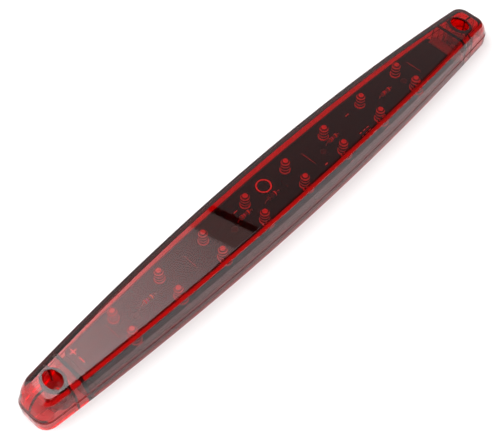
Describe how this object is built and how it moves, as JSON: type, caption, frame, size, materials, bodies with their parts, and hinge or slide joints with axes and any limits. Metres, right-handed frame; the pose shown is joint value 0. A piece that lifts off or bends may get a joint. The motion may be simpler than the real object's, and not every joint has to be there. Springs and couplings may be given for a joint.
{
  "type": "third brake light",
  "caption": "Long boat-shaped surface-mount third brake light: clear red bevelled lens cover over a black board with two rows of red LEDs, with a screw hole at each end.",
  "frame": {"origin": "centre of the flat rear mounting face", "axes": "+X along the lamp's length, +Y across it, +Z out of the mounting face, the way the light shines"},
  "size_m": [0.334, 0.0368, 0.0204],
  "materials": {
    "lens_red": "clear red moulded acrylic, glossy",
    "plate_black": "moulded black ABS",
    "adhesive_black": "cured black adhesive bead",
    "clear_sealant": "cured translucent sealant, uneven and soft",
    "grommet_rubber": "black EPDM rubber",
    "board_black": "black solder mask on glass-epoxy laminate",
    "led_epoxy": "red tinted clear epoxy",
    "tinned_metal": "tinned steel",
    "resistor": "blue lacquered body with colour bands, on tinned leads",
    "diode": "moulded black epoxy on tinned leads"
  },
  "bodies": {
    "root": {"lens_cover": "lens_red", "base_plate": "plate_black", "sealing_bead": "adhesive_black", "cable_grommet": "grommet_rubber", "circuit_board": "board_black", "led_01": "led_epoxy", "led_02": "led_epoxy", "led_03": "led_epoxy", "led_04": "led_epoxy", "led_05": "led_epoxy", "led_06": "led_epoxy", "led_07": "led_epoxy", "led_08": "led_epoxy", "led_09": "led_epoxy", "led_10": "led_epoxy", "led_11": "led_epoxy", "led_12": "led_epoxy", "led_13": "led_epoxy", "led_14": "led_epoxy", "led_15": "led_epoxy", "led_16": "led_epoxy", "led_leadframes": "tinned_metal", "resistor_1": "resistor", "resistor_2": "resistor", "resistor_3": "resistor", "resistor_4": "resistor", "polarity_diode": "diode", "wire_links": "tinned_metal", "wire_pins": "tinned_metal", "end_sealant": "clear_sealant"}
  },
  "joints": []
}
